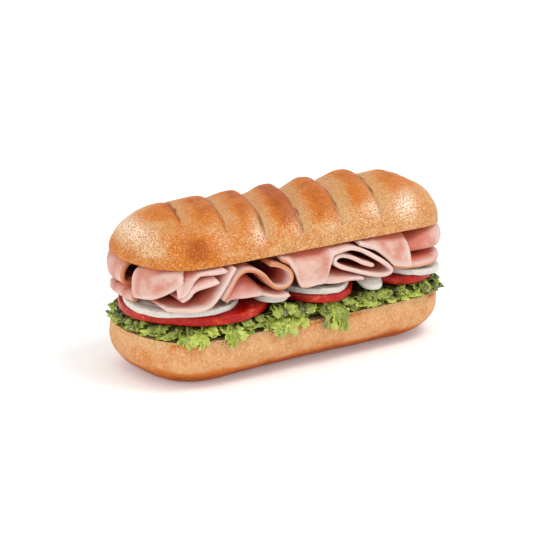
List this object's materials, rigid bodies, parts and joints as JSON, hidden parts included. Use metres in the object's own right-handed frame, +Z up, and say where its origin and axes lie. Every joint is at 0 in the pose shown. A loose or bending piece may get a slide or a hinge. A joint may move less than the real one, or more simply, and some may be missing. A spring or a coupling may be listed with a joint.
{
  "type": "submarine sandwich",
  "caption": "Scored, split bread roll filled with shredded lettuce, tomato slices, onion slices and folded ham",
  "frame": {"origin": "centre of the whole in plan, on the plane that the roll rests on", "axes": "+X along the roll, -Y towards the side that the picture shows, +Z up"},
  "size_m": [0.1534, 0.0734, 0.0704],
  "materials": {
    "bread": "baked crust, golden brown on the crests and paler in the scores, fine-grained, faintly glossy",
    "lettuce": "crisp shredded leaf, pale ribs and darker frilled edges, moist sheen",
    "tomato": "wet cut flesh with a glossy red skin round the rim",
    "onion": "translucent white rings, moist",
    "ham": "soft pink sliced meat, paler at the cut edges, thin browned rim, moist sheen"
  },
  "bodies": {
    "root": {"bun_bottom": "bread", "bun_top": "bread", "lettuce": "lettuce", "tomato_slice_1": "tomato", "tomato_slice_2": "tomato", "tomato_slice_3": "tomato", "tomato_slice_4": "tomato", "onion_slice_1": "onion", "onion_slice_2": "onion", "onion_slice_3": "onion", "onion_slice_4": "onion", "onion_slice_5": "onion", "onion_slice_6": "onion", "onion_slice_7": "onion", "ham_slice_1": "ham", "ham_slice_2": "ham", "ham_slice_3": "ham", "ham_slice_4": "ham", "ham_slice_5": "ham", "ham_slice_6": "ham", "ham_slice_7": "ham", "ham_slice_8": "ham", "ham_slice_9": "ham", "ham_slice_10": "ham", "ham_slice_11": "ham", "ham_slice_12": "ham", "ham_slice_13": "ham", "ham_slice_14": "ham"}
  },
  "joints": []
}
